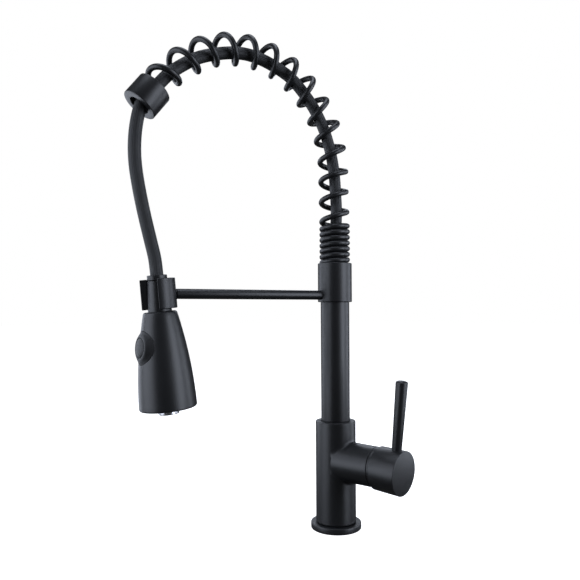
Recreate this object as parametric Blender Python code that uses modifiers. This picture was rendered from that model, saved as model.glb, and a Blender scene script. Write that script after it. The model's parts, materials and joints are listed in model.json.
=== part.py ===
"""Spring-necked pull-down kitchen mixer, modelled as an assembly.

Units in the tables below are millimetres and degrees; MM turns them into metres.
+Z is up, the spout reaches along -Y, and the origin is the centre of the base's underside.
"""
import math

import bmesh
import bpy
import numpy as np
from mathutils import Vector

MM = 0.001
GAP = 0.3                      # clearance kept between neighbouring pieces

# Steps round a turned piece
FINE = 32
PLAIN = 18
SMALL = 10

# Base and body
FLANGE_R = 25.0
FLANGE_H = 6.0
FOOT_R = 16.0
BODY_R = 19.94
BODY_TOP = 105.7
SOCKET_R = 14.7
SOCKET_FLOOR = 87.5

# Handle side: distances run outward from the column's axis
HANDLE_TURN = 23.3             # from +X towards +Y
HANDLE_Z = 66.8
BOSS_R_IN = 19.6
BOSS_R_OUT = 19.1
BOSS_END = 47.8
CHAMBER_R = 17.2
CHAMBER_FLOOR = 21.5
PORTS = ((4.8, 7.0), (4.8, -7.0), (-8.0, 0.0))   # two inlets below, the mixed outlet above
PORT_R = 3.0
INLET_R = 4.4
DISC_SHIFT = 2.0               # the moving disc rests this much low, and slides up as it opens
PIVOT_OUT = 46.0               # the lever's pivot pin
REST_TILT = 2.9                # the handle hub droops this much when shut
DOME_R = 19.0                  # ball-shaped trim ring, centred on the pivot
HUB_IN = 5.0                   # hub, measured from the pivot
HUB_OUT = 31.6
LEVER_OUT = 23.1
LEVER_LEAN = 2.6
LEVER_LENGTH = 65.2
LEVER_R_TOP = 5.8
LEVER_R_FOOT = 4.7

# Column
COLUMN_R = 14.38
COLUMN_BORE = 10.5
COLUMN_FOOT_R = 12.2
COLUMN_TOP = 248.0
COLLAR_R = 17.09
COLLAR_FOOT = 224.4
COLLAR_TOP = 263.5
SPRING_SEAT = 256.6
SCREW_TURN = 150.0             # the column's retaining screw, round the back

# Docking arm and holder
ARM_Z = 231.25
ARM_R = 4.65
SPIGOT_R = 2.5
HOLDER_R = 15.5
HOLDER_LOW = 2.2               # heights above the spray head's top face, along its axis
HOLDER_HIGH = 28.9
SLOT_FROM = -19.0              # the holder's slot, round its axis from the spout's direction
SLOT_TO = 75.0

# Spray head: its top face's centre, and its lean
HEAD_REACH = 178.6
HEAD_TOP = 215.5
HEAD_LEAN = 5.3
HEAD_LENGTH = 85.3
NECK_FOOT = 0.5
NECK_TOP = 27.2
NECK_R_FOOT = 10.5
NECK_R_TOP = 8.75
FERRULE_TOP = 32.2
WALL = 2.2
BUTTON_DROP = 29.8
BUTTON_TURN = 10.0
BUTTON_PITCH = 8.5
BUTTON_R = 8.5
BEZEL_R = 14.7
PAD_RISE = 1.4                 # flat rim round the button, above the shell

# Spring, hose and the collar on the spring's end
COIL_R = 12.7
WIRE_R = 2.5
HOSE_R = 5.8
CLOSED_PITCH = 5.69
CLOSED_END = 38.1              # along the arch, where the closed coils stop
# Pitch of the open coils, as (turns from there, distance per turn)
OPEN_PITCHES = ((0.0, CLOSED_PITCH), (0.7, 20.8), (2.8, 20.3), (3.6, 23.4), (7.0, 22.2), (11.0, 22.2),
                (13.0, 24.7))
FIRST_TURN = -7.45
LAST_TURN = 14.45
POINTS_PER_TURN = 10
CAP_REACH = 197.9              # centre of the end cap's lower face
CAP_FOOT = 396.3
CAP_LEAN = -37.7
CAP_R = 16.2
CAP_LENGTH = 22.5
JOIN_DEPTH = 6.0               # the two hose lengths meet this far inside the cap

# Spring's centre line, as (reach, height)
ARCH = ((0.0, 240.0), (0.0, 263.5), (0.0, 300.0), (0.8, 330.0), (3.1, 375.3), (15.7, 412.0),
        (46.2, 446.6), (86.4, 462.7), (129.7, 457.9), (169.0, 432.8), (184.2, 414.1), (197.9, 396.3))
ARCH_START = 23.5              # length from the list's first point to the collar's top
# How far the hose lies off that line, towards the outside of the arch: (distance along, offset)
HOSE_DRIFT = ((20.0, 0.2), (50.0, 2.5), (70.0, 2.4), (95.0, 0.7), (120.0, -1.4), (145.0, -2.8),
              (172.0, -3.1), (205.0, -3.1), (250.0, -3.1), (295.0, -2.9), (330.0, -1.3))
# The hose from the cap down to the spray head, as (reach, height)
DROP = ((184.0, 414.2), (191.5, 405.0), (196.5, 396.0), (199.6, 383.2), (201.3, 369.0), (201.6, 355.0),
        (200.5, 341.0), (198.1, 326.0), (194.8, 309.5), (191.0, 293.0), (187.0, 277.0), (183.5, 262.5))

COLOURS = {
    "matte_black": ((0.018, 0.018, 0.020), 0.42, 0.3),
    "black_rubber": ((0.012, 0.012, 0.012), 0.75, 0.0),
    "hose_sleeve": ((0.020, 0.020, 0.022), 0.70, 0.0),
    "black_plastic": ((0.020, 0.020, 0.022), 0.50, 0.0),
    "brass": ((0.72, 0.52, 0.22), 0.30, 1.0),
    "steel": ((0.62, 0.62, 0.64), 0.28, 1.0),
    "nylon": ((0.82, 0.82, 0.78), 0.45, 0.0),
    "ceramic": ((0.90, 0.88, 0.84), 0.20, 0.0),
}


# ---------------------------------------------------------------- scene and helpers

def clear_scene():
    for old in list(bpy.data.objects):
        bpy.data.objects.remove(old, do_unlink=True)


def new_collection(name):
    collection = bpy.data.collections.new(name)
    bpy.context.scene.collection.children.link(collection)
    return collection


clear_scene()
PARTS = new_collection("spring_kitchen_mixer")
CUTTERS = new_collection("cutters")


def material(name):
    found = bpy.data.materials.get(name)
    if found:
        return found
    colour, roughness, metallic = COLOURS[name]
    made = bpy.data.materials.new(name)
    made.use_nodes = True
    shader = made.node_tree.nodes["Principled BSDF"]
    shader.inputs["Base Color"].default_value = (*colour, 1.0)
    shader.inputs["Roughness"].default_value = roughness
    shader.inputs["Metallic"].default_value = metallic
    return made


def frame_at(name, location, angles, parent=None):
    """An empty: a joint axis or a piece's own frame."""
    empty = bpy.data.objects.new(name, None)
    PARTS.objects.link(empty)
    empty.empty_display_size = 0.02
    empty.parent = parent
    empty.location = [value * MM for value in location]
    empty.rotation_euler = [math.radians(angle) for angle in angles]
    return empty


def add_object(name, data, parent, finish):
    made = bpy.data.objects.new(name, data)
    made.parent = parent
    if finish is None:
        CUTTERS.objects.link(made)
        made.hide_render = True
        made.display_type = "WIRE"
    else:
        PARTS.objects.link(made)
        data.materials.append(material(finish))
    return made


def turned(name, outline, parent=None, finish=None, steps=FINE, ring=False):
    """Turn an outline of (radius, height) about Z. It runs down the outer side, top to bottom."""
    mesh = bpy.data.meshes.new(name)
    corners = [(radius * MM, 0.0, height * MM) for radius, height in outline]
    edges = [(i, i + 1) for i in range(len(corners) - 1)]
    if ring:
        edges.append((len(corners) - 1, 0))
    mesh.from_pydata(corners, edges, [])
    made = add_object(name, mesh, parent, finish)
    screw = made.modifiers.new("turn", "SCREW")
    screw.axis = "Z"
    screw.angle = math.tau
    screw.steps = steps
    screw.render_steps = steps
    screw.use_merge_vertices = True
    screw.merge_threshold = 0.00001
    screw.use_smooth_shade = True
    return made


def rod(name, radius, low, high, parent=None, finish=None, steps=SMALL, at=(0.0, 0.0)):
    """A plain round bar along Z, off its frame's axis where `at` says."""
    mesh = bpy.data.meshes.new(name)
    shape = bmesh.new()
    bmesh.ops.create_cone(shape, cap_ends=True, segments=steps, radius1=radius * MM,
                          radius2=radius * MM, depth=(high - low) * MM)
    centre = Vector((at[0], at[1], (high + low) / 2)) * MM
    bmesh.ops.translate(shape, verts=shape.verts, vec=centre)
    shape.to_mesh(mesh)
    shape.free()
    return add_object(name, mesh, parent, finish)


def block(name, low, high, parent=None, finish=None):
    mesh = bpy.data.meshes.new(name)
    shape = bmesh.new()
    bmesh.ops.create_cube(shape, size=1.0)
    low, high = Vector(low), Vector(high)
    bmesh.ops.scale(shape, verts=shape.verts, vec=(high - low) * MM)
    bmesh.ops.translate(shape, verts=shape.verts, vec=(high + low) / 2 * MM)
    shape.to_mesh(mesh)
    shape.free()
    return add_object(name, mesh, parent, finish)


def o_ring(name, centre_radius, thickness, height, parent, sides=6, steps=PLAIN):
    """A rubber ring: a small circle turned about Z, starting at its top."""
    radius = thickness / 2
    angles = [math.pi / 2 - math.tau * i / sides for i in range(sides)]
    outline = [(centre_radius + radius * math.cos(a), height + radius * math.sin(a)) for a in angles]
    return turned(name, outline, parent, "black_rubber", steps, ring=True)


def combine(piece, operation, *tools):
    for tool in tools:
        boolean = piece.modifiers.new(operation.lower(), "BOOLEAN")
        boolean.operation = operation
        boolean.solver = "EXACT"
        boolean.object = tool
    return piece


def cut(piece, *tools):
    return combine(piece, "DIFFERENCE", *tools)


def join(piece, *tools):
    return combine(piece, "UNION", *tools)


def smooth_line(points, spacing):
    """Points a fixed distance apart along a smooth curve through the given ones."""
    given = np.array(points, dtype=float)
    ends = np.vstack((2 * given[0] - given[1], given, 2 * given[-1] - given[-2]))
    dense = []
    for before, start, end, after in zip(ends, ends[1:], ends[2:], ends[3:]):
        span = np.linalg.norm(end - start)
        into = (end - before) / (np.linalg.norm(start - before) + span) * span
        out = (after - start) / (span + np.linalg.norm(after - end)) * span
        for t in np.linspace(0.0, 1.0, 40, endpoint=False):
            dense.append((2 * t**3 - 3 * t**2 + 1) * start + (t**3 - 2 * t**2 + t) * into
                         + (3 * t**2 - 2 * t**3) * end + (t**3 - t**2) * out)
    dense = np.array(dense + [given[-1]])
    along = np.concatenate(([0.0], np.cumsum(np.linalg.norm(np.diff(dense, axis=0), axis=1))))
    count = max(2, int(round(along[-1] / spacing)) + 1)
    wanted = np.linspace(0.0, along[-1], count)
    return np.column_stack([np.interp(wanted, along, dense[:, k]) for k in range(given.shape[1])])


def tube(name, points, radius, finish, resolution):
    """A wire or hose through points in the row's frame, in millimetres."""
    curve = bpy.data.curves.new(name, "CURVE")
    curve.dimensions = "3D"
    curve.bevel_depth = radius * MM
    curve.bevel_resolution = resolution
    curve.use_fill_caps = True
    spline = curve.splines.new("POLY")
    spline.points.add(len(points) - 1)
    for point, place in zip(spline.points, points):
        point.co = (place[0] * MM, place[1] * MM, place[2] * MM, 1.0)
    spline.use_smooth = True
    return add_object(name, curve, None, finish)


def settle_parts():
    """Apply every modifier, so that each piece is a plain mesh with smooth round faces."""
    bpy.context.view_layer.update()
    graph = bpy.context.evaluated_depsgraph_get()
    made = {}
    for piece in PARTS.objects:
        if piece.type == "MESH" and piece.modifiers:
            made[piece.name] = bpy.data.meshes.new_from_object(piece.evaluated_get(graph))
    for name, mesh in made.items():
        piece = PARTS.objects[name]
        piece.modifiers.clear()
        piece.data = mesh
        mesh.shade_smooth()
        mesh.set_sharp_from_angle(angle=math.radians(35.0))


# ---------------------------------------------------------------- base and mixer body

def build_base():
    turned("base_flange", [(FOOT_R + GAP, FLANGE_H), (FLANGE_R - 0.6, FLANGE_H), (FLANGE_R, FLANGE_H - 0.6),
                           (FLANGE_R, 0.0), (23.2, 0.0), (23.2, 1.7), (19.8, 1.7), (19.8, 0.0),
                           (FOOT_R + GAP, 0.0)], None, "matte_black", ring=True)
    turned("deck_gasket", [(20.1, 1.4), (22.9, 1.4), (22.9, 0.0), (20.1, 0.0)], None, "black_rubber",
           ring=True)


def build_body(handle_axis):
    body = turned("mixer_body", [(0.0, BODY_TOP), (BODY_R - 0.6, BODY_TOP), (BODY_R, BODY_TOP - 0.6),
                                 (BODY_R, FLANGE_H + 1.0), (BODY_R - 0.7, FLANGE_H + GAP),
                                 (FOOT_R, FLANGE_H + GAP), (FOOT_R, 0.0), (0.0, 0.0)],
                  None, "matte_black")
    boss = turned("boss_form", [(0.0, BOSS_END), (BOSS_R_OUT - 0.4, BOSS_END), (BOSS_R_OUT, BOSS_END - 0.4),
                                (BOSS_R_IN, 8.0), (0.0, 8.0)], handle_axis)
    join(body, boss)
    chamber = rod("chamber_cut", CHAMBER_R, CHAMBER_FLOOR, BOSS_END + 2.0, handle_axis, steps=FINE)
    socket = rod("socket_cut", SOCKET_R, SOCKET_FLOOR, BODY_TOP + 2.0, steps=FINE)
    channels = [rod(f"channel_cut_{i}", PORT_R, -2.0, CHAMBER_FLOOR + 1.0, handle_axis, at=place)
                for i, place in enumerate(PORTS)]
    turn = math.radians(HANDLE_TURN)
    inlets = [rod(f"inlet_cut_{i}", INLET_R, -2.0, HANDLE_Z - PORTS[i][0],
                  at=(-PORTS[i][1] * math.sin(turn), PORTS[i][1] * math.cos(turn)))
              for i in range(2)]
    riser = rod("riser_cut", PORT_R + 0.2, HANDLE_Z - PORTS[2][0], SOCKET_FLOOR + 1.0)
    screw_axis = frame_at("retaining_screw_axis", (0.0, 0.0, 98.65), (0.0, 90.0, SCREW_TURN))
    screw_hole = rod("retaining_screw_cut", 1.8, 13.0, BODY_R + 1.0, screw_axis)
    cut(body, socket, chamber, *channels, *inlets, riser, screw_hole)
    turned("retaining_screw", [(0.0, 19.4), (1.5, 19.4), (1.5, 14.9), (1.2, 14.6), (1.2, 13.1), (0.0, 13.1)],
           screw_axis, "steel", SMALL)


# ---------------------------------------------------------------- cartridge and handle

def ported_disc(name, radius, low, high, handle_axis, finish, thickness_margin=1.0):
    disc = rod(name, radius, low, high, handle_axis, finish, PLAIN)
    holes = [rod(f"{name}_cut_{i}", PORT_R, low - thickness_margin, high + thickness_margin, handle_axis,
                 at=place) for i, place in enumerate(PORTS)]
    return cut(disc, *holes)


def build_cartridge(handle_axis):
    ported_disc("cartridge_seal", 16.5, 21.8, 23.4, handle_axis, "black_rubber")
    housing = turned("cartridge_housing", [(0.0, 26.7), (13.5, 26.7), (13.5, 35.2), (10.95, 35.2),
                                           (10.95, 37.7), (16.9, 37.7), (16.9, 23.7), (0.0, 23.7)],
                     handle_axis, "nylon", PLAIN)
    cut(housing, *[rod(f"housing_cut_{i}", PORT_R, 22.5, 27.5, handle_axis, at=place)
                   for i, place in enumerate(PORTS)])
    ported_disc("ceramic_disc_fixed", 13.0, 27.0, 29.4, handle_axis, "ceramic")
    moving = rod("ceramic_disc_moving", 9.0, 29.7, 32.2, handle_axis, "ceramic", PLAIN, at=(DISC_SHIFT, 0.0))
    cut(moving, rod("drive_pocket_cut", 3.0, 30.1, 33.0, handle_axis, at=(-0.7, 0.0)))
    turned("cartridge_nut", [(11.0, PIVOT_OUT - 3.8), (16.9, PIVOT_OUT - 3.8), (16.9, PIVOT_OUT - 8.0),
                             (11.0, PIVOT_OUT - 8.0)], handle_axis, "brass", PLAIN, ring=True)


def build_carrier(handle_axis):
    carrier = turned("cartridge_carrier", [(0.0, PIVOT_OUT + 4.0), (10.6, PIVOT_OUT + 4.0), (10.6, 34.9),
                                           (13.2, 34.9), (13.2, 32.5), (0.0, 32.5)],
                     handle_axis, "nylon", PLAIN)
    slot = block("carrier_slot_cut", (-14.0, -3.5, 36.2), (14.0, 3.5, PIVOT_OUT + 6.0), handle_axis)
    window = block("carrier_window_cut", (-9.3, -3.5, 31.0), (5.0, 3.5, 37.0), handle_axis)
    pin_axis = frame_at("pivot_pin_axis", (0.0, 0.0, PIVOT_OUT), (90.0, 0.0, 0.0), handle_axis)
    cut(carrier, slot, window, rod("carrier_pin_cut", 1.4, -14.0, 14.0, pin_axis))
    rod("pivot_pin", 1.1, -9.6, 9.6, pin_axis, "steel")


def build_dome(handle_pivot_level):
    ball = [(DOME_R * math.sin(a), DOME_R * math.cos(a)) for a in np.radians((40.4, 50.0, 60.0, 71.0, 83.7))]
    turned("cartridge_dome", ball + [(16.9, 2.1), (16.9, -3.5), (15.4, -3.5), (15.4, 5.5), (12.3, 11.8)],
           handle_pivot_level, "matte_black", FINE, ring=True)


def build_handle(pivot):
    hub = turned("handle_hub", [(0.0, HUB_OUT), (20.2, HUB_OUT), (20.8, HUB_OUT - 0.6), (20.5, HUB_IN),
                                (19.35, HUB_IN), (17.9, 8.2), (14.6, 13.3), (10.0, 17.2), (4.9, 19.6),
                                (4.9, 27.2), (0.0, 27.2)], pivot, "matte_black")
    lever_axis = frame_at("lever_axis", (-20.3, 0.0, LEVER_OUT), (0.0, LEVER_LEAN - 90.0, 0.0), pivot)
    screw_axis = frame_at("grub_screw_axis", (0.0, 0.0, 23.6), (0.0, 90.0, 0.0), pivot)
    stud_hole = rod("stud_cut", 2.3, -8.4, 3.0, lever_axis)
    screw_hole = rod("grub_screw_cut", 2.4, 3.0, 23.0, screw_axis)
    cut(hub, stud_hole, screw_hole)

    lever = turned("lever", [(0.0, LEVER_LENGTH), (3.6, LEVER_LENGTH - 0.3), (5.1, LEVER_LENGTH - 1.0),
                             (LEVER_R_TOP, LEVER_LENGTH - 2.2), (LEVER_R_FOOT, 1.1), (0.0, 1.1)],
                   lever_axis, "matte_black", PLAIN)
    cut(lever, rod("lever_stud_cut", 2.3, -1.0, 8.4, lever_axis))
    rod("lever_stud", 2.0, -8.0, 8.0, lever_axis, "steel")
    rod("grub_screw", 2.1, 5.2, 14.0, screw_axis, "steel")
    rod("hub_plug", 2.1, 17.6, 20.2, screw_axis, "black_plastic")

    pin_hole = rod("stem_pin_cut", 1.4, -8.0, 8.0, frame_at("stem_pin_axis", (0.0, 0.0, 0.0),
                                                            (90.0, 0.0, 0.0), pivot))
    stem = turned("cartridge_stem", [(0.0, 26.6), (4.6, 26.6), (4.6, 11.0), (3.2, 9.0), (3.2, -9.5),
                                     (1.9, -11.0), (1.9, -14.6), (1.1, -15.6), (0.0, -15.6)],
                  pivot, "steel", PLAIN)
    cut(stem, pin_hole)


# ---------------------------------------------------------------- column, arm and holder

def build_column():
    turned("column_tube", [(COLUMN_BORE, COLUMN_TOP), (COLUMN_R, COLUMN_TOP), (COLUMN_R, 103.5),
                           (COLUMN_FOOT_R, 103.5), (COLUMN_FOOT_R, 88.4), (COLUMN_BORE, 88.4)],
           None, "matte_black", ring=True)
    o_ring("column_o_ring_lower", 13.45, 1.9, 89.9, None)
    o_ring("column_o_ring_upper", 13.45, 1.9, 92.6, None)
    for name, low, high in (("swivel_bush_lower", 94.2, 96.8), ("swivel_bush_upper", 100.5, 103.2)):
        turned(name, [(12.5, high), (14.4, high), (14.4, low), (12.5, low)], None, "nylon", PLAIN, ring=True)
    turned("hose_connector", [(3.0, 104.5), (6.5, 104.5), (6.5, 96.0), (10.2, 96.0), (10.2, 89.0),
                              (3.0, 89.0)], None, "brass", PLAIN, ring=True)


def build_collar(arm_axis):
    collar = turned("column_collar", [(15.5, COLLAR_TOP), (COLLAR_R - 0.5, COLLAR_TOP),
                                      (COLLAR_R, COLLAR_TOP - 0.5), (COLLAR_R, COLLAR_FOOT + 0.6),
                                      (COLLAR_R - 0.5, COLLAR_FOOT), (14.7, COLLAR_FOOT), (14.7, 248.4),
                                      (10.6, 248.4), (10.6, SPRING_SEAT), (15.5, SPRING_SEAT)],
                    None, "matte_black", ring=True)
    cut(collar, rod("collar_spigot_cut", SPIGOT_R + GAP, 13.0, 19.0, arm_axis))
    turned("hose_guide", [(6.8, 272.0), (9.4, 272.0), (9.4, 256.8), (10.2, 256.6), (10.2, 248.8),
                          (6.8, 248.8)], None, "black_plastic", PLAIN, ring=True)


def build_arm(arm_axis, head_axis):
    """The rod's ends are saddled to the round collar and holder, with a spigot into each."""
    arm = rod("docking_arm", ARM_R, 12.0, 170.0, arm_axis, "matte_black", PLAIN)
    collar_form = rod("arm_collar_cut", COLLAR_R + GAP, 215.0, 250.0, steps=FINE)
    holder_form = rod("arm_holder_cut", HOLDER_R + GAP, -5.0, 40.0, head_axis, steps=FINE)
    cut(arm, collar_form, holder_form)
    join(arm, rod("arm_spigot_in", SPIGOT_R, 14.9, 20.0, arm_axis),
         rod("arm_spigot_out", SPIGOT_R, 160.0, 167.2, arm_axis))


def neck_radius(height):
    share = (height - NECK_FOOT) / (NECK_TOP - NECK_FOOT)
    return NECK_R_FOOT + (NECK_R_TOP - NECK_R_FOOT) * share


def build_holder(arm_axis, head_axis):
    clearance = 0.4
    holder = turned("docking_ring", [(neck_radius(HOLDER_HIGH) + clearance, HOLDER_HIGH),
                                     (HOLDER_R - 0.5, HOLDER_HIGH), (HOLDER_R, HOLDER_HIGH - 0.5),
                                     (HOLDER_R, HOLDER_LOW + 0.5), (HOLDER_R - 0.5, HOLDER_LOW),
                                     (neck_radius(HOLDER_LOW) + clearance, HOLDER_LOW)],
                    head_axis, "matte_black", ring=True)
    wedge = bpy.data.meshes.new("slot_cut")
    shape = bmesh.new()
    reach = 40.0
    corners = [(0.0, 0.0)]
    for angle in (SLOT_FROM, (SLOT_FROM + SLOT_TO) / 2, SLOT_TO):
        turn = math.radians(angle - 90.0)
        corners.append((reach * math.cos(turn), reach * math.sin(turn)))
    base = shape.faces.new([shape.verts.new((x * MM, y * MM, 0.0)) for x, y in corners])
    grown = bmesh.ops.extrude_face_region(shape, geom=[base])
    top = [item for item in grown["geom"] if isinstance(item, bmesh.types.BMVert)]
    bmesh.ops.translate(shape, verts=top, vec=(0.0, 0.0, 40.0 * MM))
    bmesh.ops.recalc_face_normals(shape, faces=shape.faces)
    shape.to_mesh(wedge)
    shape.free()
    cut(holder, add_object("slot_cut", wedge, head_axis, None),
        rod("holder_spigot_cut", SPIGOT_R + GAP, 160.0, 174.0, arm_axis))


# ---------------------------------------------------------------- spray head

def shell_radius(drop):
    """The head's flare: a parabola, steep under the neck and nearly upright at the rim."""
    return 14.6 + 0.235 * drop - 0.00127 * drop**2


def flare(drops, inset=0.0):
    return [(shell_radius(drop) - inset, -drop) for drop in drops]


def build_hose_end(head_axis):
    turned("hose_ferrule", [(6.2, FERRULE_TOP), (8.3, FERRULE_TOP), (8.8, FERRULE_TOP - 0.5), (8.8, 27.6),
                            (6.2, 27.6)], head_axis, "matte_black", ring=True)
    turned("hose_tail", [(3.0, 27.2), (6.9, 27.2), (6.9, 10.5), (5.5, 10.5), (5.5, 4.0), (3.0, 4.0)],
           head_axis, "brass", PLAIN, ring=True)
    o_ring("swivel_seal", 6.35, 1.2, 7.2, head_axis)


def build_head(head_axis):
    turned("neck_sleeve", [(7.3, NECK_TOP), (NECK_R_TOP, NECK_TOP), (NECK_R_FOOT, NECK_FOOT),
                           (7.3, NECK_FOOT)], head_axis, "matte_black", ring=True)
    shell = turned("spray_shell", [(7.6, 0.0), (12.9, 0.0), (14.2, -0.5), (14.9, -1.8)]
                   + flare((6.0, 17.0, 30.0, 43.0, 56.0, 70.0, HEAD_LENGTH - 1.4))
                   + [(24.9, -HEAD_LENGTH + 0.4), (24.2, -HEAD_LENGTH), (23.3, -HEAD_LENGTH)]
                   + flare((HEAD_LENGTH - 8.0, 54.0, 27.0, 4.5), inset=WALL) + [(7.6, -4.5)],
                   head_axis, "black_plastic", ring=True)
    button_axis = frame_at("button_axis", button_place(), (0.0, 90.0 - BUTTON_PITCH, BUTTON_TURN - 90.0),
                           head_axis)
    cut(shell, rod("bezel_hole_cut", BEZEL_R + GAP, -12.0, 8.0, button_axis, steps=PLAIN))
    build_core(head_axis)
    build_button(head_axis, button_axis)
    build_spray_face(head_axis)


def button_place():
    turn = math.radians(BUTTON_TURN - 90.0)
    radius = shell_radius(BUTTON_DROP)
    return (radius * math.cos(turn), radius * math.sin(turn), -BUTTON_DROP)


def build_core(head_axis):
    turned("waterway_core", [(4.0, 3.2), (7.0, 3.2), (7.0, -5.0), (11.5, -5.0), (11.5, -16.0), (6.5, -16.0),
                             (6.5, -60.0), (4.0, -60.0)], head_axis, "brass", PLAIN, ring=True)
    turned("check_valve", [(1.2, -2.0), (3.6, -2.0), (3.6, -13.0), (1.2, -13.0)], head_axis, "nylon",
           SMALL, ring=True)


def build_button(head_axis, button_axis):
    steps = (8.0, 20.0, 32.0, 44.0, 56.0)
    bezel = turned("button_bezel", flare(steps, inset=-0.6) + flare(reversed(steps), inset=WALL - 0.2),
                   head_axis, "black_rubber", ring=True)
    combine(bezel, "INTERSECT", rod("bezel_form", BEZEL_R, -9.0, 8.0, button_axis, steps=PLAIN))
    join(bezel, rod("bezel_pad", BUTTON_R + 2.4, -4.0, PAD_RISE, button_axis, steps=PLAIN))
    cut(bezel, rod("button_hole_cut", BUTTON_R + GAP, -12.0, 10.0, button_axis, steps=PLAIN))
    turned("mode_button", [(0.0, 2.9), (4.5, 2.7), (6.9, 2.2), (BUTTON_R - 0.2, 1.4), (BUTTON_R, 0.6),
                           (BUTTON_R, -3.5), (6.0, -3.5), (6.0, 0.9), (2.4, 0.9), (2.4, -10.0), (0.0, -10.0)],
           button_axis, "black_rubber", PLAIN)
    turned("diverter_body", [(2.9, -7.0), (8.2, -7.0), (8.2, -12.5), (2.9, -12.5)], button_axis, "nylon",
           PLAIN, ring=True)
    turns, per_turn = 4, 6
    bpy.context.view_layer.update()
    place = button_axis.matrix_world.copy()
    points = []
    for i in range(turns * per_turn + 1):
        angle = math.tau * i / per_turn
        height = -6.1 + 6.3 * i / (turns * per_turn)
        local = Vector((4.5 * math.cos(angle), 4.5 * math.sin(angle), height)) * MM
        points.append((place @ local) / MM)
    tube("button_spring", points, 0.45, "steel", 2)


def build_spray_face(head_axis):
    turned("spray_manifold", [(9.8, -61.0), (19.8, -61.0), (19.8, -68.0), (9.8, -68.0)], head_axis,
           "black_plastic", PLAIN, ring=True)
    face = turned("spray_face", [(9.6, -80.5), (22.7, -80.5), (22.7, -83.6), (9.6, -83.6)], head_axis,
                  "black_rubber", FINE, ring=True)
    nozzles = []
    for count, radius in ((8, 13.4), (14, 18.6)):
        for i in range(count):
            turn = math.tau * i / count
            nozzles.append(rod(f"nozzle_form_{count}_{i}", 0.9, -85.2, -82.0, head_axis, steps=6,
                               at=(radius * math.cos(turn), radius * math.sin(turn))))
    join(face, *nozzles)
    turned("aerator_housing", [(7.4, -70.0), (9.2, -70.0), (9.2, -90.1), (8.8, -90.6), (7.4, -90.6)],
           head_axis, "steel", FINE, ring=True)
    turned("aerator_insert", [(0.0, -76.0), (7.1, -76.0), (7.1, -89.2), (0.0, -89.8)], head_axis,
           "black_plastic", PLAIN)


# ---------------------------------------------------------------- spring, hose and end cap

def arch_frames(spacing=1.0):
    """Points along the spring's centre line with the outward normal, by distance from the collar's top."""
    line = smooth_line(ARCH, spacing)
    along = np.concatenate(([0.0], np.cumsum(np.linalg.norm(np.diff(line, axis=0), axis=1)))) - ARCH_START
    ahead = np.gradient(line, along, axis=0)
    ahead /= np.linalg.norm(ahead, axis=1)[:, None]
    normal = np.column_stack((-ahead[:, 1], ahead[:, 0]))
    return along, line, normal


def on_arch(distance, frames):
    along, line, normal = frames
    place = np.array([np.interp(distance, along, line[:, k]) for k in range(2)])
    outward = np.array([np.interp(distance, along, normal[:, k]) for k in range(2)])
    return place, outward / np.linalg.norm(outward)


def coil_distance(turn):
    """Distance along the arch after some turns, counted from the last closed coil."""
    if turn <= 0.0:
        return CLOSED_END + CLOSED_PITCH * turn
    turns, pitches = zip(*OPEN_PITCHES)
    middles = (np.arange(60) + 0.5) * turn / 60
    return CLOSED_END + turn * float(np.interp(middles, turns, pitches).mean())


def build_spring(frames):
    count = int((LAST_TURN - FIRST_TURN) * POINTS_PER_TURN) + 1
    points = []
    for i in range(count):
        turn = FIRST_TURN + i / POINTS_PER_TURN
        place, outward = on_arch(coil_distance(turn), frames)
        reach, height = place + COIL_R * math.cos(math.tau * turn) * outward
        points.append((-COIL_R * math.sin(math.tau * turn), -reach, height))
    tube("spring", points, WIRE_R, "matte_black", 2)


def build_hoses(frames):
    """One hose, modelled in two lengths that meet inside the cap."""
    lean = math.radians(HEAD_LEAN)
    mouth = [(HEAD_REACH + t * math.sin(lean), HEAD_TOP + t * math.cos(lean))
             for t in (FERRULE_TOP + 2.0, NECK_TOP + 1.2)]
    route = [(0.0, 105.2), (0.0, 150.0), (0.0, 200.0), (0.0, 245.0), (0.0, 268.0)]
    for distance, drift in HOSE_DRIFT:
        place, outward = on_arch(distance, frames)
        route.append(tuple(place + drift * outward))
    line = smooth_line(route + list(DROP) + mouth, 0.25)
    lean = math.radians(CAP_LEAN)
    join_at = np.array((CAP_REACH + JOIN_DEPTH * math.sin(lean), CAP_FOOT + JOIN_DEPTH * math.cos(lean)))
    split = int(np.argmin(np.linalg.norm(line - join_at, axis=1)))
    apart = 4                  # samples left out each side, so that the angled ends stay clear
    for name, piece, spacing in (("hose_upper", line[:split - apart], 12.0),
                                 ("hose_drop", line[split + apart:], 8.0)):
        path = [(0.0, -reach, height) for reach, height in smooth_line(piece, spacing)]
        tube(name, path, HOSE_R, "hose_sleeve", 2)


def build_cap():
    cap_axis = frame_at("cap_axis", (0.0, -CAP_REACH, CAP_FOOT), (CAP_LEAN, 0.0, 0.0))
    turned("spring_cap", [(15.5, CAP_LENGTH), (CAP_R - 0.4, CAP_LENGTH), (CAP_R, CAP_LENGTH - 0.4),
                          (CAP_R, 0.4), (CAP_R - 0.4, 0.0), (9.8, 0.0), (9.3, 0.5), (9.3, 8.5),
                          (15.5, 8.5)], cap_axis, "matte_black", ring=True)
    turned("cap_guide", [(7.9, 11.2), (14.8, 11.2), (14.8, 8.8), (7.9, 8.8)], cap_axis, "black_plastic", PLAIN,
           ring=True)


# ---------------------------------------------------------------- assembly

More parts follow.
